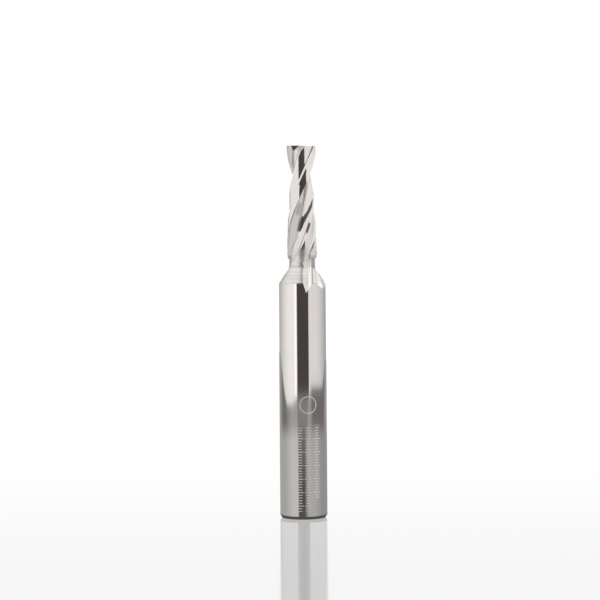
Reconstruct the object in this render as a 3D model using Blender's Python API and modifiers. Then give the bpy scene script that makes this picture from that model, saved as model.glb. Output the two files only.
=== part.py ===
"""A two-flute carbide end mill, standing on the end of its shank.

Metres, +Z up. The origin is the centre of the shank's end face, and the tip is at the top. A round blank
is turned first, and then ground as the real tool is: flutes, tooth backs, wheel run-outs and end gashes.
The tool cuts right-handed on a right-handed helix, and its two teeth are the same, half a turn apart.
"""

from math import cos, pi, radians, sin, sqrt, tan

import bmesh
import bpy
from mathutils import Matrix, Vector

# Driving sizes of the blank
OVERALL_LENGTH = 0.063
SHANK_DIAMETER = 0.008
SHANK_CHAMFER_WIDTH = 0.0003
SHANK_CHAMFER_HEIGHT = 0.0005
CUTTING_DIAMETER = 0.005
LAND_LENGTH = 0.0191
NECK_DIAMETER = 0.0047
NECK_LENGTH = 0.0016
CONE_LENGTH = 0.0027
GRINDING_STOCK = 0.0001
ROUND_STEPS = 96

# Driving sizes of the teeth, as angles round the axis behind the cutting edge and drops from its radius
TEETH = 2
HELIX_ANGLE = radians(25.4)
RAKE_ANGLE = radians(8)
PRIMARY_LAND = radians(21)
PRIMARY_DROP = 0.00007
PRIMARY_STEPS = 3
SECONDARY_LAND = radians(28)
SECONDARY_DROP = 0.0001
STEP_SPREAD = radians(9)
STEP_HOLLOW = 2
STEP_STEPS = 4
BACK_RADIUS = 0.0021
BACK_END = radians(97)
BACK_STEPS = 8
RIM_RADIUS = 0.00325
RIM_AHEAD = radians(7)
RIM_STEPS = 5

# Driving sizes of the flute's section. A facing is the direction of a surface's normal ahead of the edge
HEEL_ANGLE = radians(80)
WALL_TOP_ANGLE = radians(88)
WALL_TOP_RADIUS = 0.00192
WALL_TOP_FACING = radians(15)
WALL_RADIUS = 0.0017
WALL_STEPS = 5
FLOOR_FACING = radians(56)
FLOOR_STEPS = 4
ROOT_FILLET = 0.0005
FILLET_STEPS = 5
FLUTE_REACH = 0.006
FLUTE_LIFT_ANGLE = radians(50)
FLUTE_RUN_START = 0.0158
FLUTE_RUN_END = 0.0258
FLUTE_RUN_RADIUS = 0.014

# Run-outs of the tooth backs: the relief fades out, and the wheel leaves through the cone into the shank
BACK_FADE_START = 0.0183
BACK_FADE_END = 0.0203
BACK_FADE_LIFT = 0.0004
BACK_FADE_STEPS = 8
EXIT_START = 0.019
EXIT_START_PLACE = Vector((0.0016, -0.00139))
EXIT_START_SIDES = (radians(-11), radians(-149))
EXIT_END = 0.0254
EXIT_END_PLACE = Vector((0.00052, -0.00405))
EXIT_END_SIDES = (radians(-33), radians(-133))
EXIT_REACH = 0.006
EXIT_SIDE_STEPS = 6
EXIT_STEPS = 6

# End gashes and end teeth
END_RELIEF = radians(7)
END_REACH = 0.004
GASH_CENTRE = 0.0003
GASH_RISE = radians(42)
GASH_FALL = radians(35)
GASH_WEB = 0.00003

STATION_STEP = radians(6)

LEAD = pi * CUTTING_DIAMETER / tan(HELIX_ANGLE)
CUTTING_RADIUS = CUTTING_DIAMETER / 2
NECK_RADIUS = NECK_DIAMETER / 2
SHANK_RADIUS = SHANK_DIAMETER / 2


def clear_scene():
    for item in list(bpy.data.objects):
        bpy.data.objects.remove(item, do_unlink=True)


def new_collection(name):
    found = bpy.data.collections.get(name) or bpy.data.collections.new(name)
    if found.name not in bpy.context.scene.collection.children:
        bpy.context.scene.collection.children.link(found)
    return found


def ground_carbide():
    finish = bpy.data.materials.new("ground_carbide")
    finish.use_nodes = True
    shader = finish.node_tree.nodes["Principled BSDF"]
    shader.inputs["Base Color"].default_value = (0.62, 0.61, 0.60, 1.0)
    shader.inputs["Metallic"].default_value = 1.0
    shader.inputs["Roughness"].default_value = 0.22
    return finish


def polar(radius, angle):
    return Vector((radius * cos(angle), radius * sin(angle)))


def turned_blank(collection):
    """The round blank, a profile from the tip's centre down its outer side, swept round the axis."""
    cone_foot = OVERALL_LENGTH - LAND_LENGTH - NECK_LENGTH - CONE_LENGTH
    outline = (
        (0.0, OVERALL_LENGTH + GRINDING_STOCK),
        (CUTTING_RADIUS + GRINDING_STOCK, OVERALL_LENGTH + GRINDING_STOCK),
        (CUTTING_RADIUS + GRINDING_STOCK, OVERALL_LENGTH - LAND_LENGTH),
        (NECK_RADIUS, OVERALL_LENGTH - LAND_LENGTH - GRINDING_STOCK),
        (NECK_RADIUS, cone_foot + CONE_LENGTH),
        (SHANK_RADIUS, cone_foot),
        (SHANK_RADIUS, SHANK_CHAMFER_HEIGHT),
        (SHANK_RADIUS - SHANK_CHAMFER_WIDTH, 0.0),
        (0.0, 0.0),
    )
    mesh = bpy.data.meshes.new("end_mill")
    mesh.from_pydata([(x, 0.0, z) for x, z in outline], [(i, i + 1) for i in range(len(outline) - 1)], [])
    blank = bpy.data.objects.new("end_mill", mesh)
    collection.objects.link(blank)
    sweep = blank.modifiers.new("turned", "SCREW")
    sweep.steps = ROUND_STEPS
    sweep.render_steps = ROUND_STEPS
    sweep.use_merge_vertices = True
    sweep.merge_threshold = 0.00001
    sweep.use_normal_calculate = True
    return blank


def lofted(name, sections, collection):
    """A closed solid through sections, each a loop of as many points, listed in the same order."""
    made = bmesh.new()
    rings = [[made.verts.new(point) for point in section] for section in sections]
    count = len(rings[0])
    for lower, upper in zip(rings, rings[1:]):
        for i in range(count):
            j = (i + 1) % count
            made.faces.new((lower[i], lower[j], upper[j], upper[i]))
    made.faces.new(reversed(rings[0]))
    made.faces.new(rings[-1])
    bmesh.ops.triangulate(made, faces=made.faces)
    bmesh.ops.recalc_face_normals(made, faces=made.faces)
    mesh = bpy.data.meshes.new(name)
    made.to_mesh(mesh)
    made.free()
    cutter = bpy.data.objects.new(name, mesh)
    cutter.hide_render = True
    cutter.display_type = "WIRE"
    collection.objects.link(cutter)
    return cutter


def between(start, end, steps):
    """Values from start to end in equal steps."""
    return [start + (end - start) * i / steps for i in range(steps + 1)]


def stations(start, end):
    """Distances from the tip, one for each small turn of the helix."""
    return between(start, end, max(1, round((end - start) / LEAD * 2 * pi / STATION_STEP)))


def placed(section, distance, tooth, lift=Vector((0.0, 0.0))):
    """A flat section of the first tooth, lifted, then turned to its tooth and its place on the helix."""
    turn = Matrix.Rotation(2 * pi * (tooth / TEETH - distance / LEAD), 2)
    height = OVERALL_LENGTH - distance
    return [Vector((*(turn @ (point + lift)), height)) for point in section]


def flute_section():
    """The flute ahead of a cutting edge that lies at angle 0: rake, root fillet, floor and hollow wall."""
    pitch = 2 * pi / TEETH
    edge = polar(CUTTING_RADIUS, 0.0)
    inward = polar(1.0, pi + RAKE_ANGLE)
    heel = polar(BACK_RADIUS, pitch - HEEL_ANGLE)
    wall_top = polar(WALL_TOP_RADIUS, pitch - WALL_TOP_ANGLE)
    hollow = wall_top + polar(WALL_RADIUS, WALL_TOP_FACING)
    wall = [hollow - polar(WALL_RADIUS, facing) for facing in between(FLOOR_FACING, WALL_TOP_FACING, WALL_STEPS)]
    along = polar(1.0, FLOOR_FACING + pi / 2)
    root = edge + inward * ((wall[0] - edge).cross(along) / inward.cross(along))
    half = inward.angle(-along) / 2
    centre = root + (along - inward).normalized() * (ROOT_FILLET / sin(half))
    start = root - inward * (ROOT_FILLET / tan(half)) - centre
    fillet = [centre + Matrix.Rotation(turn, 2) @ start for turn in between(0.0, 2 * half - pi, FILLET_STEPS)]
    floor = between(fillet[-1], wall[0], FLOOR_STEPS)[1:-1]
    before = [edge - inward * FLUTE_REACH, edge - inward * GRINDING_STOCK * 2]
    beyond = [heel + (heel - wall_top).normalized() * FLUTE_REACH, polar(FLUTE_REACH * 1.5, pitch / 3)]
    return before + fillet + floor + wall + [heel] + beyond


def flute_lift(distance):
    """How far the grinding wheel has left the flute, on an arc towards the end of the cutting length."""
    run = max(0.0, distance - FLUTE_RUN_START)
    return polar(FLUTE_RUN_RADIUS - sqrt(FLUTE_RUN_RADIUS**2 - run**2), FLUTE_LIFT_ANGLE)


def flute_cutter(tooth, collection):
    section = flute_section()
    sections = [
        placed(section, distance, tooth, flute_lift(distance))
        for distance in stations(-GRINDING_STOCK * 4, FLUTE_RUN_END)
    ]
    return lofted(f"flute_{tooth + 1}", sections, collection)


def relieved_land():
    """The primary and secondary lands, each falling evenly behind the edge, from a little ahead of it."""
    fall = PRIMARY_DROP / PRIMARY_LAND
    primary = between(-PRIMARY_LAND / PRIMARY_STEPS, PRIMARY_LAND, PRIMARY_STEPS + 1)
    land = [polar(CUTTING_RADIUS - fall * behind, -behind) for behind in primary]
    return land + [polar(CUTTING_RADIUS - SECONDARY_DROP, -SECONDARY_LAND)]


def land_step():
    """The hollow step from the land down to the tooth's back."""
    height = CUTTING_RADIUS - SECONDARY_DROP - BACK_RADIUS
    return [
        polar(BACK_RADIUS + height * (1 - share)**STEP_HOLLOW, -SECONDARY_LAND - STEP_SPREAD * share)
        for share in between(0.0, 1.0, STEP_STEPS)[1:-1]
    ]


def back_section(lift):
    """All that is ground away behind an edge at angle 0: both lands, the step and the back."""
    foot = SECONDARY_LAND + STEP_SPREAD
    back = [polar(BACK_RADIUS, -behind) for behind in between(foot, BACK_END, BACK_STEPS)]
    raised = [point + point.normalized() * lift for point in relieved_land() + land_step() + back]
    return raised + [polar(RIM_RADIUS, angle) for angle in between(-BACK_END, RIM_AHEAD, RIM_STEPS)]


def back_cutter(tooth, collection):
    level = back_section(0.0)
    sections = [placed(level, distance, tooth) for distance in stations(-GRINDING_STOCK * 4, BACK_FADE_START)]
    for share in between(0.0, 1.0, BACK_FADE_STEPS)[1:]:
        distance = BACK_FADE_START + (BACK_FADE_END - BACK_FADE_START) * share
        sections.append(placed(back_section(BACK_FADE_LIFT * share**2), distance, tooth))
    return lofted(f"tooth_back_{tooth + 1}", sections, collection)


def wheel_exit(tooth, collection):
    """Where the wheel that ground the tooth's back leaves, its sides closing on the way into the shank."""
    turn = Matrix.Rotation(2 * pi * (tooth + 1) / TEETH, 2)
    sections = []
    for share in between(0.0, 1.0, EXIT_STEPS):
        bottom = EXIT_START_PLACE.lerp(EXIT_END_PLACE, share)
        right, left = (
            start + (end - start) * share for start, end in zip(EXIT_START_SIDES, EXIT_END_SIDES)
        )
        reaches = between(0.0, EXIT_REACH, EXIT_SIDE_STEPS)
        corners = [bottom + polar(reach, right) for reach in reaches]
        corners += [bottom + polar(EXIT_REACH, (right + left) / 2)]
        corners += [bottom + polar(reach, left) for reach in reversed(reaches[1:])]
        height = OVERALL_LENGTH - EXIT_START - (EXIT_END - EXIT_START) * share
        sections.append([Vector((*(turn @ corner), height)) for corner in corners])
    return lofted(f"wheel_exit_{tooth + 1}", sections, collection)


def groove(name, start, end, offsets, tooth, collection):
    """A straight groove from start to end. Its bottom is that line, and offsets give its other corners."""
    turn = Matrix.Rotation(2 * pi * tooth / TEETH, 3, "Z")
    corners = [Vector((0.0, 0.0, 0.0))] + [Vector(offset) for offset in offsets]
    sections = [[turn @ (place + corner) for corner in corners] for place in (start, end)]
    return lofted(f"{name}_{tooth + 1}", sections, collection)


def end_gash(tooth, collection):
    """The notch ahead of each end tooth, from its flute up to the centre of the end face."""
    slope = tan(GASH_RISE)
    left = Vector((-END_REACH, -GASH_WEB, OVERALL_LENGTH - (END_REACH - GASH_CENTRE) * slope))
    right = Vector((END_REACH, -GASH_WEB, OVERALL_LENGTH + (END_REACH + GASH_CENTRE) * slope))
    fall = END_REACH * tan(GASH_FALL)
    offsets = ((0.0, -END_REACH, -fall), (0.0, -END_REACH, 3 * END_REACH), (0.0, 0.0, 3 * END_REACH))
    return groove("end_gash", left, right, offsets, tooth, collection)


def end_relief(tooth, collection):
    """The end face of a tooth falls away behind its end cutting edge."""
    lap = GRINDING_STOCK * 2
    run = END_REACH + lap
    left = Vector((-END_REACH, lap, OVERALL_LENGTH + lap * tan(END_RELIEF)))
    right = Vector((END_REACH, lap, OVERALL_LENGTH + lap * tan(END_RELIEF)))
    offsets = ((0.0, -run, -run * tan(END_RELIEF)), (0.0, -run, END_REACH), (0.0, 0.0, END_REACH))
    return groove("end_relief", left, right, offsets, tooth, collection)


def cut(target, cutter):
    modifier = target.modifiers.new(cutter.name, "BOOLEAN")
    modifier.operation = "DIFFERENCE"
    modifier.solver = "EXACT"
    modifier.object = cutter


def build():
    clear_scene()
    part = new_collection("end_mill")
    cutters = new_collection("cutters")
    blank = turned_blank(part)
    blank.data.materials.append(ground_carbide())
    for make in (flute_cutter, back_cutter, wheel_exit, end_gash, end_relief):
        for tooth in range(TEETH):
            cut(blank, make(tooth, cutters))
    blank.data.shade_smooth()
    blank.data.set_sharp_from_angle(angle=radians(30))


build()
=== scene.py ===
from math import cos, pi, radians, sin, sqrt, tan

import bmesh
import bpy
from mathutils import Matrix, Vector

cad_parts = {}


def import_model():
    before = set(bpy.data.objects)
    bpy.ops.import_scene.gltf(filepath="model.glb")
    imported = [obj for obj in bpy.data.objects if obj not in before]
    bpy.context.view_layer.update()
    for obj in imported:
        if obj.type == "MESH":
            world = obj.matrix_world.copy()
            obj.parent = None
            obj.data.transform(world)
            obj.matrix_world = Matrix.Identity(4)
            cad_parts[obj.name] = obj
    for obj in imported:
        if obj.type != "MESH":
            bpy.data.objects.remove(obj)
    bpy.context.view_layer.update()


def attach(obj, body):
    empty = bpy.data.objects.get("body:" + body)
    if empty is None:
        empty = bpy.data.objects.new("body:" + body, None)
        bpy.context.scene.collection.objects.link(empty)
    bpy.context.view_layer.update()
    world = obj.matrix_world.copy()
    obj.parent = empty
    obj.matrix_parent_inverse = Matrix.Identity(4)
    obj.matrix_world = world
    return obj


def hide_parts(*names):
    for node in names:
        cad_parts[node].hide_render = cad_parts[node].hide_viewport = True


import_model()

# The photograph's view: a level camera at about half the tool's height, rolled a little
PICTURE_SIDE = 600
PIXELS_PER_METRE = 5894.0
FOOT_ROW = 516.8
AXIS_COLUMN = 302.35
CAMERA_DISTANCE = 0.277
CAMERA_ROLL = radians(-0.415)
NEAREST_SEEN = 0.01
SENSOR_WIDTH = 36.0

# The tool, with the sizes of its CAD solid and finer steps: the blank
OVERALL_LENGTH = 0.063
SHANK_DIAMETER = 0.008
SHANK_CHAMFER_WIDTH = 0.0003
SHANK_CHAMFER_HEIGHT = 0.0005
CUTTING_DIAMETER = 0.005
LAND_LENGTH = 0.0191
NECK_DIAMETER = 0.0047
NECK_LENGTH = 0.0016
CONE_LENGTH = 0.0027
GRINDING_STOCK = 0.0001
ROUND_STEPS = 288
MERGE_DISTANCE = 0.00001
SHARP_EDGE = radians(20)

# The cutters that grind the blank: how far they start above the tip and overlap what they leave, and the
# helix's turn from one of their sections to the next
CUTTER_LEAD = GRINDING_STOCK * 4
CUTTER_LAP = GRINDING_STOCK * 2
STATION_STEP = radians(2)

# The teeth, as angles round the axis behind the cutting edge and drops from its radius
TEETH = 2
HELIX_ANGLE = radians(25.4)
RAKE_ANGLE = radians(8)
PRIMARY_LAND = radians(21)
PRIMARY_DROP = 0.00007
PRIMARY_STEPS = 8
SECONDARY_LAND = radians(28)
SECONDARY_DROP = 0.0001
STEP_SPREAD = radians(9)
STEP_HOLLOW = 2
STEP_STEPS = 10
BACK_RADIUS = 0.0021
BACK_END = radians(97)
BACK_STEPS = 24
RIM_RADIUS = 0.00325
RIM_AHEAD = radians(7)
RIM_STEPS = 5

# The flute's section. A facing is the direction of a surface's normal ahead of the edge
HEEL_ANGLE = radians(80)
WALL_TOP_ANGLE = radians(88)
WALL_TOP_RADIUS = 0.00192
WALL_TOP_FACING = radians(15)
WALL_RADIUS = 0.0017
WALL_STEPS = 16
FLOOR_FACING = radians(56)
FLOOR_STEPS = 12
ROOT_FILLET = 0.0005
FILLET_STEPS = 12
FLUTE_REACH = 0.006
FLUTE_CORNER = (0.009, radians(60))
FLUTE_LIFT_ANGLE = radians(50)
FLUTE_RUN_START = 0.0158
FLUTE_RUN_END = 0.0258
FLUTE_RUN_RADIUS = 0.014

# Where the tooth backs end: their relief fades out
BACK_FADE_START = 0.0183
BACK_FADE_END = 0.0203
BACK_FADE_LIFT = 0.0004
BACK_FADE_STEPS = 16

# The wheel's exit through the neck and the cone into the shank. Each row is the distance from the tip, the
# place of the bottom line and the directions, in degrees, of the right and the left side that rise from it
EXIT_LINE = (
    (0.0150, 0.00165, -0.00190, -50, -148),
    (0.0165, 0.00150, -0.00178, -50, -148),
    (0.0180, 0.00136, -0.00170, -48, -148),
    (0.0190, 0.00126, -0.00168, -46, -148),
    (0.0198, 0.00119, -0.00170, -44, -148),
    (0.0204, 0.00113, -0.00175, -40, -147),
    (0.0210, 0.00108, -0.00189, -36, -145),
    (0.0216, 0.00104, -0.00214, -33, -142),
    (0.0222, 0.00101, -0.00246, -31, -139),
    (0.0228, 0.00098, -0.00283, -31, -137),
    (0.0234, 0.00093, -0.00319, -31, -135),
    (0.0244, 0.00076, -0.00367, -28, -135),
    (0.0254, 0.00052, -0.00411, -25, -136),
)
EXIT_REACH = 0.006
EXIT_SIDE_STEPS = 24
EXIT_STEPS = 8

# End gashes and end teeth
END_RELIEF = radians(7)
END_REACH = 0.004
GASH_CENTRE = 0.0003
GASH_RISE = radians(42)
GASH_FALL = radians(35)
GASH_WEB = 0.0002
GASH_TOP = 0.012

# The studio: strengths of light, and angles round the tool (right of it is positive) and above the horizon.
# A pair of angles is where a change starts and ends, and two more values are what it goes from and to.
# A triple of angles is a band: low, high and blur. A pair of triples is a patch, round the tool and up
TENT_SIDE = (radians(60), radians(165), 1.0, 0.45)
TENT_SIDE_UP = (radians(0.5), radians(4))
TENT_RIGHT = (radians(20), radians(35), 1.0, 0.83)
TENT_EDGE = (radians(110), radians(168), 0.98, 0.35)
TENT_BEHIND_SIDE = (radians(163), radians(167.5))
TENT_BEHIND_UP = (radians(13), radians(20), 1.0, 0.0)
TENT_BEHIND_LIGHT = 1.8
TENT_RIM = (radians(-40), radians(-32), radians(1.5))
TENT_RIM_LIGHT = (radians(1), radians(3), 1.25, 1.0)
TENT_TOP = (radians(50), radians(75))
TENT_TOP_LIGHT = 0.92
TENT_BACK = (radians(143), radians(162), radians(4)), (radians(4), radians(30), radians(3))
TENT_BACK_LIGHT = 1.2

# Dark gaps in the tent on the camera's side
LOW_GAP = (radians(-26), radians(27.5), radians(3.5)), (radians(-3), radians(11), radians(2))
HIGH_GAP = (radians(-17), radians(18), radians(5)), (radians(8), radians(38), radians(6))
TOP_GAP = (radians(-12), radians(14), radians(7)), (radians(30), radians(74), radians(6))
LOW_GAP_LIGHT = 0.07
HIGH_GAP_LIGHT = 0.13
TOP_GAP_LIGHT = 0.32
GAP_COLOUR = (1.0, 0.9, 0.88, 1.0)

# The room under the tent's edge. All that follows goes by the angle below the horizon
ROOM_START_LEFT = (radians(-150), radians(-80), radians(1.7), radians(3.55))
ROOM_START_INSIDE = (radians(-55), radians(-30), 1.0, 0.93)
ROOM_START_RIGHT = (radians(105), radians(140), radians(2.95), radians(2.0))
ROOM_SIDES = (radians(28), radians(44))
ROOM_BLUR = radians(0.22)
ROOM_LIGHT = (radians(50), radians(100), 0.38, 0.19)
ROOM_RIGHT = (radians(30), radians(50))
ROOM_RIGHT_LIGHT = 0.18
ROOM_EDGE_LIGHT = (radians(112), radians(145), 0.0, 0.2)

# The table as the tool mirrors it: dark in front, where the camera's side is reflected, and with white paper
# close to the foot
TABLE_START = (radians(4.2), radians(4.95))
TABLE_LIGHT = (radians(45), radians(110), 0.62, 0.44)
TABLE_RIGHT = (radians(5), radians(40), 1.0, 0.76)
FRONT_BAND = (radians(-26), radians(20), radians(5))
FRONT_DOWN = (radians(2.7), radians(4.2))
FRONT_LIGHT = (0.07, 0.27)
NEAR_LEFT = (radians(-29), radians(-21))
NEAR_RIGHT = (radians(2), radians(34), 1.0, 0.0)
NEAR_LIGHT = (radians(5), radians(7), 0.17, 0.1)
PAPER_START = (radians(8.2), radians(10.5))
PAPER_LIGHT = (radians(28), radians(45), 0.74, 0.6)
PAPER_SHADE = (radians(40), radians(75), radians(12)), (radians(14), radians(24), radians(5))
PAPER_SHADE_LIGHT = 0.5

# The table as the camera sees it, and the shade round the tool's foot, by the distance from the axis
FLOOR_WIDTH = 1.6
FLOOR_FRONT = 0.5
FLOOR_BACK = 0.9
FLOOR_LIGHT = (-0.09, 0.10, 0.60, 0.705)
FLOOR_GLOSS = 0.27
FLOOR_ROUGHNESS = 0.08
FOOT_SHADE = (0.005, 0.009)
FOOT_LIGHT = 0.09
WHITE = (1.0, 1.0, 1.0, 1.0)

# The carbide's finish. A noise has a scale and a detail
WARM_CARBIDE = (0.84, 0.785, 0.755, 1.0)
COOL_CARBIDE = (0.80, 0.785, 0.755, 1.0)
TINT_NOISE = (500.0, 2.0)
TINT_CHANGE = (0.35, 0.65)
LINE_NOISE = (7000.0, 5.0)
LINE_STRETCH = 0.04
LINE_DEPTH = 0.000004
STREAK_NOISE = (2600.0, 3.0)
STREAK_CHANGE = (0.3, 0.75)
STREAK_SHADE = 0.7
STREAK_CARBIDE = (0.60, 0.575, 0.56, 1.0)
TOOTH_LINES = 0.7
NECK_LINES = 1.0
SHANK_LINES = 0.035
NECK_FINISH_UP = 0.0036
POLISHED_ROUGHNESS = 0.035
GROUND_ROUGHNESS = 0.26
CONE_ROUGHNESS = 0.26
NECK_ROUGHNESS = 0.38

# Painted light beside the wheel's exit, as bands across the tool and down from the tip: a painted shadow as
# the dark line in its corner, a painted highlight as the bright strip on its right side, kept off the shank's
# skin, and painted shade on the neck
CORNER_ACROSS = (0.00160, 0.00172, 0.00005)
CORNER_DOWN = (0.0194, 0.0234, 0.0003)
CORNER_SHADE = 0.75
# Colour of the painted shadow in the exit's corner and of the painted shade on the neck beside it
PAINTED_SHADE_COLOUR = (0.12, 0.11, 0.105, 1.0)
STRIP_ACROSS = (0.00104, 0.00158, 0.00006)
STRIP_DOWN = (0.0197, 0.0252, 0.0006)
STRIP_SKIN = (0.00392, 0.00398, 1.0, 0.0)
# Colour of the painted highlight: the bright strip on the right side of the wheel's exit
PAINTED_HIGHLIGHT_COLOUR = (1.0, 0.975, 0.955, 1.0)
BESIDE_ACROSS = (0.00158, 0.0030, 0.00006)
BESIDE_DOWN = (0.0188, 0.0208, 0.0002)
BESIDE_SHADE = 0.4

# Frosted ticks and ring on the shank. A column has its place round the shank, half its width, and the heights
# of its foot and head
TICK_COLUMNS = (
    (-0.00054, 0.0005, 0.0012, 0.0154),
    (0.0007, 0.0005, 0.0012, 0.0157),
    (0.0024, 0.0006, 0.0035, 0.0158),
)
TICK_PITCH = 0.00045
TICK_SHARE = 0.3
TICKS_PER_LONG = 5
SHORT_TICK = 0.6
RING_PLACE = (0.00085, 0.0192)
RING_RADIUS = 0.0014
RING_LINE = 0.00014
FROST_SHADE = 0.8
FROST_ROUGHNESS = 0.55
FROSTED_CARBIDE = (0.86, 0.85, 0.84, 1.0)

# Worked out from the sizes above, with heights above the table
LEAD = pi * CUTTING_DIAMETER / tan(HELIX_ANGLE)
CUTTING_RADIUS = CUTTING_DIAMETER / 2
NECK_RADIUS = NECK_DIAMETER / 2
SHANK_RADIUS = SHANK_DIAMETER / 2
LAND_END = OVERALL_LENGTH - LAND_LENGTH
CONE_HEAD = LAND_END - NECK_LENGTH
CONE_FOOT = CONE_HEAD - CONE_LENGTH


def polar(radius, angle):
    return Vector((radius * cos(angle), radius * sin(angle)))


def turned_blank():
    """The round blank, a profile from the tip's centre down its outer side, swept round the axis."""
    outline = (
        (0.0, OVERALL_LENGTH + GRINDING_STOCK),
        (CUTTING_RADIUS + GRINDING_STOCK, OVERALL_LENGTH + GRINDING_STOCK),
        (CUTTING_RADIUS + GRINDING_STOCK, LAND_END),
        (NECK_RADIUS, LAND_END - GRINDING_STOCK),
        (NECK_RADIUS, CONE_HEAD),
        (SHANK_RADIUS, CONE_FOOT),
        (SHANK_RADIUS, SHANK_CHAMFER_HEIGHT),
        (SHANK_RADIUS - SHANK_CHAMFER_WIDTH, 0.0),
        (0.0, 0.0),
    )
    mesh = bpy.data.meshes.new("ground_end_mill")
    mesh.from_pydata([(x, 0.0, z) for x, z in outline], [(i, i + 1) for i in range(len(outline) - 1)], [])
    blank = bpy.data.objects.new("ground_end_mill", mesh)
    bpy.context.scene.collection.objects.link(blank)
    sweep = blank.modifiers.new("turned", "SCREW")
    sweep.steps = ROUND_STEPS
    sweep.render_steps = ROUND_STEPS
    sweep.use_merge_vertices = True
    sweep.merge_threshold = MERGE_DISTANCE
    sweep.use_normal_calculate = True
    return blank


def lofted(name, sections):
    """A closed solid through sections, each a loop of as many points, listed in the same order."""
    made = bmesh.new()
    rings = [[made.verts.new(point) for point in section] for section in sections]
    count = len(rings[0])
    for lower, upper in zip(rings, rings[1:]):
        for i in range(count):
            j = (i + 1) % count
            made.faces.new((lower[i], lower[j], upper[j], upper[i]))
    made.faces.new(reversed(rings[0]))
    made.faces.new(rings[-1])
    bmesh.ops.triangulate(made, faces=made.faces)
    bmesh.ops.recalc_face_normals(made, faces=made.faces)
    mesh = bpy.data.meshes.new(name)
    made.to_mesh(mesh)
    made.free()
    cutter = bpy.data.objects.new(name, mesh)
    bpy.context.scene.collection.objects.link(cutter)
    return cutter


def between(start, end, steps):
    """Values from start to end in equal steps."""
    return [start + (end - start) * i / steps for i in range(steps + 1)]


def stations(start, end):
    """Distances from the tip, one for each small turn of the helix."""
    return between(start, end, max(1, round((end - start) / LEAD * 2 * pi / STATION_STEP)))


def placed(section, distance, tooth, lift=Vector((0.0, 0.0))):
    """A flat section of the first tooth, lifted, then turned to its tooth and its place on the helix."""
    turn = Matrix.Rotation(2 * pi * (tooth / TEETH - distance / LEAD), 2)
    height = OVERALL_LENGTH - distance
    return [Vector((*(turn @ (point + lift)), height)) for point in section]


def flute_section():
    """The flute ahead of a cutting edge that lies at angle 0: rake, root fillet, floor and hollow wall."""
    pitch = 2 * pi / TEETH
    edge = polar(CUTTING_RADIUS, 0.0)
    inward = polar(1.0, pi + RAKE_ANGLE)
    heel = polar(BACK_RADIUS, pitch - HEEL_ANGLE)
    wall_top = polar(WALL_TOP_RADIUS, pitch - WALL_TOP_ANGLE)
    hollow = wall_top + polar(WALL_RADIUS, WALL_TOP_FACING)
    facings = between(FLOOR_FACING, WALL_TOP_FACING, WALL_STEPS)
    wall = [hollow - polar(WALL_RADIUS, facing) for facing in facings]
    along = polar(1.0, FLOOR_FACING + pi / 2)
    root = edge + inward * ((wall[0] - edge).cross(along) / inward.cross(along))
    half = inward.angle(-along) / 2
    centre = root + (along - inward).normalized() * (ROOT_FILLET / sin(half))
    start = root - inward * (ROOT_FILLET / tan(half)) - centre
    turns = between(0.0, 2 * half - pi, FILLET_STEPS)
    fillet = [centre + Matrix.Rotation(turn, 2) @ start for turn in turns]
    floor = between(fillet[-1], wall[0], FLOOR_STEPS)[1:-1]
    before = [edge - inward * FLUTE_REACH, edge - inward * CUTTER_LAP]
    beyond = [heel + (heel - wall_top).normalized() * FLUTE_REACH, polar(*FLUTE_CORNER)]
    return before + fillet + floor + wall + [heel] + beyond


def flute_lift(distance):
    """How far the grinding wheel has left the flute, on an arc towards the end of the cutting length."""
    run = max(0.0, distance - FLUTE_RUN_START)
    return polar(FLUTE_RUN_RADIUS - sqrt(FLUTE_RUN_RADIUS**2 - run**2), FLUTE_LIFT_ANGLE)


def flute_cutter(tooth):
    section = flute_section()
    sections = [
        placed(section, distance, tooth, flute_lift(distance))
        for distance in stations(-CUTTER_LEAD, FLUTE_RUN_END)
    ]
    return lofted(f"flute_{tooth + 1}", sections)


def relieved_land():
    """The primary and secondary lands, each falling evenly behind the edge, from a little ahead of it."""
    fall = PRIMARY_DROP / PRIMARY_LAND
    primary = between(-PRIMARY_LAND / PRIMARY_STEPS, PRIMARY_LAND, PRIMARY_STEPS + 1)
    land = [polar(CUTTING_RADIUS - fall * behind, -behind) for behind in primary]
    return land + [polar(CUTTING_RADIUS - SECONDARY_DROP, -SECONDARY_LAND)]


def land_step():
    """The hollow step from the land down to the tooth's back."""
    height = CUTTING_RADIUS - SECONDARY_DROP - BACK_RADIUS
    return [
        polar(BACK_RADIUS + height * (1 - share)**STEP_HOLLOW, -SECONDARY_LAND - STEP_SPREAD * share)
        for share in between(0.0, 1.0, STEP_STEPS)[1:-1]
    ]


def back_section(lift):
    """All that is ground away behind an edge at angle 0: both lands, the step and the back."""
    foot = SECONDARY_LAND + STEP_SPREAD
    back = [polar(BACK_RADIUS, -behind) for behind in between(foot, BACK_END, BACK_STEPS)]
    raised = [point + point.normalized() * lift for point in relieved_land() + land_step() + back]
    return raised + [polar(RIM_RADIUS, angle) for angle in between(-BACK_END, RIM_AHEAD, RIM_STEPS)]


def back_cutter(tooth):
    level = back_section(0.0)
    sections = [placed(level, distance, tooth) for distance in stations(-CUTTER_LEAD, BACK_FADE_START)]
    for share in between(0.0, 1.0, BACK_FADE_STEPS)[1:]:
        distance = BACK_FADE_START + (BACK_FADE_END - BACK_FADE_START) * share
        sections.append(placed(back_section(BACK_FADE_LIFT * share**2), distance, tooth))
    return lofted(f"tooth_back_{tooth + 1}", sections)


def exit_rows():
    """The rows of EXIT_LINE, with equal steps between each two."""
    rows = [(*place, radians(right), radians(left)) for *place, right, left in EXIT_LINE]
    shares = between(0.0, 1.0, EXIT_STEPS)[1:]
    return rows[:1] + [
        [a + (b - a) * share for a, b in zip(this, following)]
        for this, following in zip(rows, rows[1:])
        for share in shares
    ]


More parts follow.
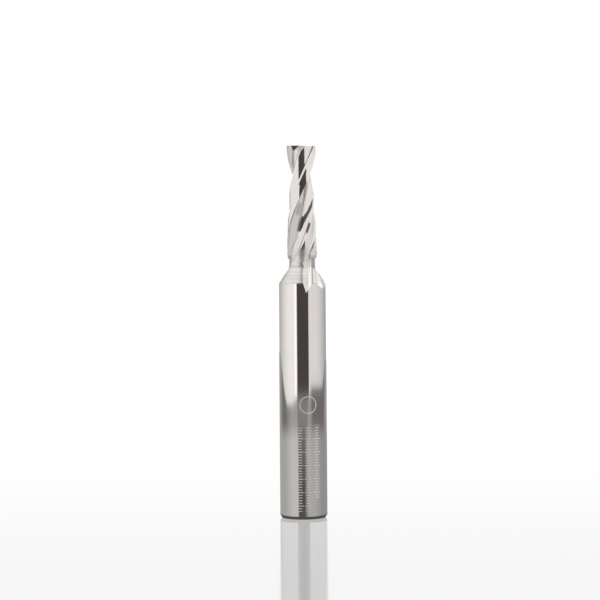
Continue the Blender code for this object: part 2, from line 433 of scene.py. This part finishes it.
def wheel_exit(tooth):
    """Where the wheel that ground the tooth's back leaves, its sides closing on the way into the shank."""
    turn = Matrix.Rotation(2 * pi * (tooth + 1) / TEETH, 2)
    reaches = between(0.0, EXIT_REACH, EXIT_SIDE_STEPS)
    sections = []
    for down, x, y, right, left in exit_rows():
        bottom = Vector((x, y))
        corners = [bottom + polar(reach, right) for reach in reaches]
        corners += [bottom + polar(EXIT_REACH, (right + left) / 2)]
        corners += [bottom + polar(reach, left) for reach in reversed(reaches[1:])]
        sections.append([Vector((*(turn @ corner), OVERALL_LENGTH - down)) for corner in corners])
    return lofted(f"wheel_exit_{tooth + 1}", sections)


def groove(name, start, end, offsets, tooth):
    """A straight groove from start to end. Its bottom is that line, and offsets give its other corners."""
    turn = Matrix.Rotation(2 * pi * tooth / TEETH, 3, "Z")
    corners = [Vector((0.0, 0.0, 0.0))] + [Vector(offset) for offset in offsets]
    sections = [[turn @ (place + corner) for corner in corners] for place in (start, end)]
    return lofted(f"{name}_{tooth + 1}", sections)


def end_gash(tooth):
    """The notch ahead of each end tooth, from its flute up to the centre of the end face."""
    slope = tan(GASH_RISE)
    left = Vector((-END_REACH, -GASH_WEB, OVERALL_LENGTH - (END_REACH - GASH_CENTRE) * slope))
    right = Vector((END_REACH, -GASH_WEB, OVERALL_LENGTH + (END_REACH + GASH_CENTRE) * slope))
    fall = END_REACH * tan(GASH_FALL)
    offsets = ((0.0, -END_REACH, -fall), (0.0, -END_REACH, GASH_TOP), (0.0, 0.0, GASH_TOP))
    return groove("end_gash", left, right, offsets, tooth)


def end_relief(tooth):
    """The end face of a tooth falls away behind its end cutting edge."""
    run = END_REACH + CUTTER_LAP
    top = OVERALL_LENGTH + CUTTER_LAP * tan(END_RELIEF)
    left = Vector((-END_REACH, CUTTER_LAP, top))
    right = Vector((END_REACH, CUTTER_LAP, top))
    offsets = ((0.0, -run, -run * tan(END_RELIEF)), (0.0, -run, END_REACH), (0.0, 0.0, END_REACH))
    return groove("end_relief", left, right, offsets, tooth)


def cut(target, cutter):
    modifier = target.modifiers.new(cutter.name, "BOOLEAN")
    modifier.operation = "DIFFERENCE"
    modifier.solver = "EXACT"
    modifier.object = cutter


def ground_end_mill():
    """The blank with everything cut from it, as one mesh."""
    blank = turned_blank()
    cutters = [
        make(tooth)
        for make in (flute_cutter, back_cutter, wheel_exit, end_gash, end_relief)
        for tooth in range(TEETH)
    ]
    for cutter in cutters:
        cut(blank, cutter)
    graph = bpy.context.evaluated_depsgraph_get()
    mesh = bpy.data.meshes.new_from_object(blank.evaluated_get(graph))
    blank.modifiers.clear()
    blank.data = mesh
    mesh.name = "ground_end_mill"
    for cutter in cutters:
        bpy.data.objects.remove(cutter, do_unlink=True)
    mesh.shade_smooth()
    mesh.set_sharp_from_angle(angle=SHARP_EDGE)
    return blank


def camera():
    half = PICTURE_SIDE / 2
    data = bpy.data.cameras.new("camera")
    data.sensor_width = SENSOR_WIDTH
    data.lens = SENSOR_WIDTH / 2 / (half / PIXELS_PER_METRE / CAMERA_DISTANCE)
    data.clip_start = NEAREST_SEEN
    item = bpy.data.objects.new("camera", data)
    bpy.context.scene.collection.objects.link(item)
    across = (half - AXIS_COLUMN) / PIXELS_PER_METRE
    up = (FOOT_ROW - half) / PIXELS_PER_METRE
    level = Matrix.Translation((across, -CAMERA_DISTANCE, up)) @ Matrix.Rotation(radians(90), 4, "X")
    item.matrix_world = level @ Matrix.Rotation(CAMERA_ROLL, 4, "Z")
    bpy.context.scene.camera = item


def new_node(tree, kind, **settings):
    made = tree.nodes.new(kind)
    for name, value in settings.items():
        setattr(made, name, value)
    return made


def feed(tree, socket, value):
    if isinstance(value, bpy.types.NodeSocket):
        tree.links.new(value, socket)
    else:
        socket.default_value = value


def maths(tree, operation, *values):
    made = new_node(tree, "ShaderNodeMath", operation=operation)
    for socket, value in zip(made.inputs, values):
        feed(tree, socket, value)
    return made.outputs[0]


def ramp(tree, value, start, end, low=0.0, high=1.0):
    """low up to start, high from end on, and smoothly from one to the other between them."""
    made = new_node(tree, "ShaderNodeMapRange", interpolation_type="SMOOTHSTEP")
    names = ("Value", "From Min", "From Max", "To Min", "To Max")
    for name, item in zip(names, (value, start, end, low, high)):
        feed(tree, made.inputs[name], item)
    return made.outputs["Result"]


def times(tree, one, other):
    return maths(tree, "MULTIPLY", one, other)


def soft_band(tree, value, low, high, blur):
    """1 between low and high, falling smoothly to 0 over blur on each side."""
    rise = ramp(tree, value, low - blur, low)
    return times(tree, rise, ramp(tree, value, high, high + blur, 1.0, 0.0))


def patch(tree, side, height, around, up):
    """A soft-edged patch, a band round the tool crossed with one up or down it."""
    return times(tree, soft_band(tree, side, *around), soft_band(tree, height, *up))


def blend(tree, share, below, above, kind="FLOAT"):
    """below where share is 0 and above where it is 1."""
    made = new_node(tree, "ShaderNodeMix", data_type=kind)
    inputs, output = {"FLOAT": ((0, 2, 3), 0), "RGBA": ((0, 6, 7), 2)}[kind]
    for index, value in zip(inputs, (share, below, above)):
        feed(tree, made.inputs[index], value)
    return made.outputs[output]


def mixed_shader(tree, share, below, above):
    made = new_node(tree, "ShaderNodeMixShader")
    for socket, value in zip(made.inputs, (share, below, above)):
        feed(tree, socket, value)
    return made.outputs[0]


def split_position(tree, output):
    place = new_node(tree, "ShaderNodeTexCoord")
    split = new_node(tree, "ShaderNodeSeparateXYZ")
    tree.links.new(place.outputs[output], split.inputs[0])
    return place.outputs[output], *split.outputs


def bearing(tree, x, y):
    """The direction round the tool, 0 towards the camera and positive to its right."""
    return maths(tree, "ARCTAN2", x, times(tree, y, -1.0))


def length(tree, x, y):
    return maths(tree, "SQRT", maths(tree, "ADD", times(tree, x, x), times(tree, y, y)))


def seen_by_camera(tree):
    return new_node(tree, "ShaderNodeLightPath").outputs["Is Camera Ray"]


def tent(tree, side, turned, height):
    """The bright cloth round and above the tool, with the dark gaps on the camera's side."""
    low = times(tree, ramp(tree, turned, *TENT_SIDE), ramp(tree, side, *TENT_RIGHT))
    light = blend(tree, ramp(tree, height, *TENT_SIDE_UP), low, ramp(tree, turned, *TENT_EDGE))
    behind = times(tree, ramp(tree, turned, *TENT_BEHIND_SIDE), ramp(tree, height, *TENT_BEHIND_UP))
    light = blend(tree, behind, light, TENT_BEHIND_LIGHT)
    light = blend(tree, soft_band(tree, side, *TENT_RIM), light, ramp(tree, height, *TENT_RIM_LIGHT))
    light = blend(tree, ramp(tree, height, *TENT_TOP), light, TENT_TOP_LIGHT)
    light = blend(tree, patch(tree, side, height, *TENT_BACK), light, TENT_BACK_LIGHT)
    light = blend(tree, patch(tree, side, height, *TOP_GAP), light, TOP_GAP_LIGHT)
    light = blend(tree, patch(tree, side, height, *HIGH_GAP), light, HIGH_GAP_LIGHT)
    return blend(tree, patch(tree, side, height, *LOW_GAP), light, LOW_GAP_LIGHT)


def room(tree, side, turned, down, light):
    """The darker room under the tent's edge, whose height changes round the tool."""
    left = times(tree, ramp(tree, side, *ROOM_START_LEFT), ramp(tree, side, *ROOM_START_INSIDE))
    start = blend(tree, ramp(tree, side, *ROOM_SIDES), left, ramp(tree, side, *ROOM_START_RIGHT))
    dim = blend(tree, ramp(tree, side, *ROOM_RIGHT), ramp(tree, turned, *ROOM_LIGHT), ROOM_RIGHT_LIGHT)
    dim = maths(tree, "ADD", dim, ramp(tree, turned, *ROOM_EDGE_LIGHT))
    return blend(tree, ramp(tree, down, start, maths(tree, "ADD", start, ROOM_BLUR)), light, dim)


def table(tree, side, turned, down, light):
    """The table under the room, darker towards the camera, and the white paper round the foot."""
    on_table = ramp(tree, down, *TABLE_START)
    lit = times(tree, ramp(tree, turned, *TABLE_LIGHT), ramp(tree, side, *TABLE_RIGHT))
    light = blend(tree, on_table, light, lit)
    near_band = times(tree, ramp(tree, side, *NEAR_LEFT), ramp(tree, side, *NEAR_RIGHT))
    band = blend(tree, on_table, soft_band(tree, side, *FRONT_BAND), near_band)
    front = blend(tree, on_table, ramp(tree, down, *FRONT_DOWN, *FRONT_LIGHT), ramp(tree, down, *NEAR_LIGHT))
    light = blend(tree, times(tree, band, ramp(tree, down, *FRONT_DOWN)), light, front)
    paper = ramp(tree, down, *PAPER_LIGHT)
    paper = blend(tree, patch(tree, side, down, *PAPER_SHADE), paper, PAPER_SHADE_LIGHT)
    return blend(tree, ramp(tree, down, *PAPER_START), light, paper)


def world():
    """What the tool mirrors, by direction. The camera itself sees plain white."""
    made = bpy.data.worlds.new("studio")
    made.use_nodes = True
    tree = made.node_tree
    tree.nodes.clear()
    _, x, y, z = split_position(tree, "Generated")
    side = bearing(tree, x, y)
    turned = maths(tree, "ABSOLUTE", side)
    height = maths(tree, "ARCSINE", z)
    down = times(tree, height, -1.0)
    light = tent(tree, side, turned, height)
    light = room(tree, side, turned, down, light)
    light = table(tree, side, turned, down, light)
    lit = new_node(tree, "ShaderNodeBackground")
    feed(tree, lit.inputs["Strength"], light)
    dark = ramp(tree, light, LOW_GAP_LIGHT, TOP_GAP_LIGHT, 1.0, 0.0)
    feed(tree, lit.inputs["Color"], blend(tree, dark, WHITE, GAP_COLOUR, "RGBA"))
    plain = new_node(tree, "ShaderNodeBackground")
    plain.inputs["Color"].default_value = WHITE
    out = new_node(tree, "ShaderNodeOutputWorld")
    mix = mixed_shader(tree, seen_by_camera(tree), lit.outputs[0], plain.outputs[0])
    feed(tree, out.inputs["Surface"], mix)
    bpy.context.scene.world = made


def noise(tree, place, scale, detail):
    made = new_node(tree, "ShaderNodeTexNoise")
    feed(tree, made.inputs["Vector"], place)
    made.inputs["Scale"].default_value = scale
    made.inputs["Detail"].default_value = detail
    return made.outputs[0]


def stretched(tree, place, across, along):
    made = new_node(tree, "ShaderNodeVectorMath", operation="MULTIPLY")
    feed(tree, made.inputs[0], place)
    made.inputs[1].default_value = (across, across, along)
    return made.outputs[0]


def grinding_lines(tree, place, z, below_tip):
    """Fine lines and broader streaks: along the helix on the teeth, and round the axis below them."""
    untwist = new_node(tree, "ShaderNodeVectorRotate", rotation_type="Z_AXIS")
    feed(tree, untwist.inputs["Vector"], place)
    feed(tree, untwist.inputs["Angle"], times(tree, below_tip, 2 * pi / LEAD))
    helical = stretched(tree, untwist.outputs[0], 1.0, LINE_STRETCH)
    round_axis = stretched(tree, place, LINE_STRETCH, 1.0)
    to_teeth = ramp(tree, z, LAND_END, LAND_END + NECK_FINISH_UP)
    on_shank = ramp(tree, z, CONE_FOOT - SHANK_CHAMFER_HEIGHT, CONE_FOOT, 1.0, 0.0)
    strength = blend(tree, on_shank, blend(tree, to_teeth, NECK_LINES, TOOTH_LINES), SHANK_LINES)
    lines, streaks = (
        blend(tree, to_teeth, noise(tree, round_axis, *kind), noise(tree, helical, *kind))
        for kind in (LINE_NOISE, STREAK_NOISE)
    )
    return lines, streaks, strength


def tick_column(tree, around, z, column):
    """One row of frosted ticks up the shank, like the divisions of a scale."""
    centre, half_width, foot, head = column
    count = maths(tree, "DIVIDE", z, TICK_PITCH)
    tick = maths(tree, "LESS_THAN", maths(tree, "FRACT", count), TICK_SHARE)
    in_group = maths(tree, "FRACT", maths(tree, "DIVIDE", count, TICKS_PER_LONG))
    long_tick = maths(tree, "LESS_THAN", in_group, 1 / TICKS_PER_LONG)
    reach = blend(tree, long_tick, half_width * SHORT_TICK, half_width)
    near = maths(tree, "LESS_THAN", maths(tree, "ABSOLUTE", maths(tree, "SUBTRACT", around, centre)), reach)
    ends = times(tree, maths(tree, "GREATER_THAN", z, foot), maths(tree, "LESS_THAN", z, head))
    return times(tree, times(tree, tick, near), ends)


def frosted_marks(tree, x, y, z):
    """Plain ticks and a ring where the real shank has its engraving."""
    around = times(tree, bearing(tree, x, y), SHANK_RADIUS)
    marks = [tick_column(tree, around, z, column) for column in TICK_COLUMNS]
    across = maths(tree, "SUBTRACT", around, RING_PLACE[0])
    up = maths(tree, "SUBTRACT", z, RING_PLACE[1])
    off_ring = maths(tree, "ABSOLUTE", maths(tree, "SUBTRACT", length(tree, across, up), RING_RADIUS))
    marks.append(maths(tree, "LESS_THAN", off_ring, RING_LINE / 2))
    total = marks[0]
    for mark in marks[1:]:
        total = maths(tree, "MAXIMUM", total, mark)
    return total


def painted_exit_light(tree, x, y, below_tip, colour):
    """Painted light at the wheel's exit: a painted highlight as a bright strip, then a painted shadow as a
    dark line in its corner and painted shade beside it.
    """
    across = times(tree, x, times(tree, maths(tree, "SIGN", y), -1.0))
    strip, corner, beside = (
        patch(tree, across, below_tip, *bands)
        for bands in ((STRIP_ACROSS, STRIP_DOWN), (CORNER_ACROSS, CORNER_DOWN), (BESIDE_ACROSS, BESIDE_DOWN))
    )
    strip = times(tree, strip, ramp(tree, length(tree, x, y), *STRIP_SKIN))
    # Painted highlight: the bright strip on the right side of the wheel's exit
    colour = blend(tree, strip, colour, PAINTED_HIGHLIGHT_COLOUR, "RGBA")
    # Painted shadow in the exit's corner and painted shade on the neck beside it
    shade = maths(tree, "MAXIMUM", times(tree, corner, CORNER_SHADE), times(tree, beside, BESIDE_SHADE))
    return blend(tree, shade, colour, PAINTED_SHADE_COLOUR, "RGBA")


def roughness(tree, z, streaked, strength, marks):
    """Polished between the streaks, rougher on the cone and the neck, and frosted in the marks."""
    polished = blend(tree, streaked, POLISHED_ROUGHNESS, GROUND_ROUGHNESS)
    low, high = CONE_HEAD - GRINDING_STOCK, CONE_HEAD + GRINDING_STOCK
    rough = ramp(tree, z, low, high, CONE_ROUGHNESS, NECK_ROUGHNESS)
    rough = times(tree, ramp(tree, strength, TOOTH_LINES, NECK_LINES), rough)
    return blend(tree, marks, maths(tree, "MAXIMUM", polished, rough), FROST_ROUGHNESS)


def carbide():
    """Ground and polished carbide: a faint change of tint, grinding lines and streaks, and the marks, with a
    painted highlight and painted shade at the wheel's exit.
    """
    made = bpy.data.materials.new("ground_carbide")
    made.use_nodes = True
    tree = made.node_tree
    shader = tree.nodes["Principled BSDF"]
    place, x, y, z = split_position(tree, "Object")
    below_tip = maths(tree, "SUBTRACT", OVERALL_LENGTH, z)
    lines, streaks, strength = grinding_lines(tree, place, z, below_tip)
    streaked = times(tree, ramp(tree, streaks, *STREAK_CHANGE), strength)
    marks = frosted_marks(tree, x, y, z)
    tint = ramp(tree, noise(tree, place, *TINT_NOISE), *TINT_CHANGE)
    colour = blend(tree, tint, WARM_CARBIDE, COOL_CARBIDE, "RGBA")
    colour = blend(tree, times(tree, streaked, STREAK_SHADE), colour, STREAK_CARBIDE, "RGBA")
    colour = blend(tree, times(tree, marks, FROST_SHADE), colour, FROSTED_CARBIDE, "RGBA")
    bump = new_node(tree, "ShaderNodeBump")
    feed(tree, bump.inputs["Strength"], strength)
    bump.inputs["Distance"].default_value = LINE_DEPTH
    feed(tree, bump.inputs["Height"], lines)
    # Base colour, with the painted highlight, shadow and shade at the wheel's exit
    feed(tree, shader.inputs["Base Color"], painted_exit_light(tree, x, y, below_tip, colour))
    feed(tree, shader.inputs["Roughness"], roughness(tree, z, streaked, strength, marks))
    feed(tree, shader.inputs["Normal"], bump.outputs[0])
    shader.inputs["Metallic"].default_value = 1.0
    return made


def emission(tree, strength):
    made = new_node(tree, "ShaderNodeEmission")
    feed(tree, made.inputs["Strength"], strength)
    return made.outputs[0]


def white_table():
    """White glossy paper for the camera. For all else it is clear, but for the shade round the tool's foot,
    because what the tool mirrors of the table belongs to the world."""
    made = bpy.data.materials.new("white_table")
    made.use_nodes = True
    tree = made.node_tree
    tree.nodes.clear()
    _, x, y, _ = split_position(tree, "Object")
    gloss = new_node(tree, "ShaderNodeBsdfGlossy")
    gloss.inputs["Color"].default_value = WHITE
    gloss.inputs["Roughness"].default_value = FLOOR_ROUGHNESS
    paper = mixed_shader(tree, FLOOR_GLOSS, emission(tree, ramp(tree, y, *FLOOR_LIGHT)), gloss.outputs[0])
    clear = new_node(tree, "ShaderNodeBsdfTransparent").outputs[0]
    off_foot = ramp(tree, length(tree, x, y), *FOOT_SHADE)
    mirrored = mixed_shader(tree, off_foot, emission(tree, FOOT_LIGHT), clear)
    out = new_node(tree, "ShaderNodeOutputMaterial")
    feed(tree, out.inputs["Surface"], mixed_shader(tree, seen_by_camera(tree), mirrored, paper))
    return made


def floor():
    bpy.ops.mesh.primitive_plane_add(size=1.0)
    item = bpy.context.object
    item.name = "floor"
    item.scale = (FLOOR_WIDTH, FLOOR_FRONT + FLOOR_BACK, 1)
    item.location = (0, (FLOOR_BACK - FLOOR_FRONT) / 2, 0)
    bpy.ops.object.transform_apply(location=True, scale=True)
    item.data.materials.append(white_table())


mill = ground_end_mill()
mill.data.materials.clear()
mill.data.materials.append(carbide())
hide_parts("end_mill")
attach(mill, "root")
camera()
world()
floor()
bpy.context.scene.view_settings.view_transform = "Standard"
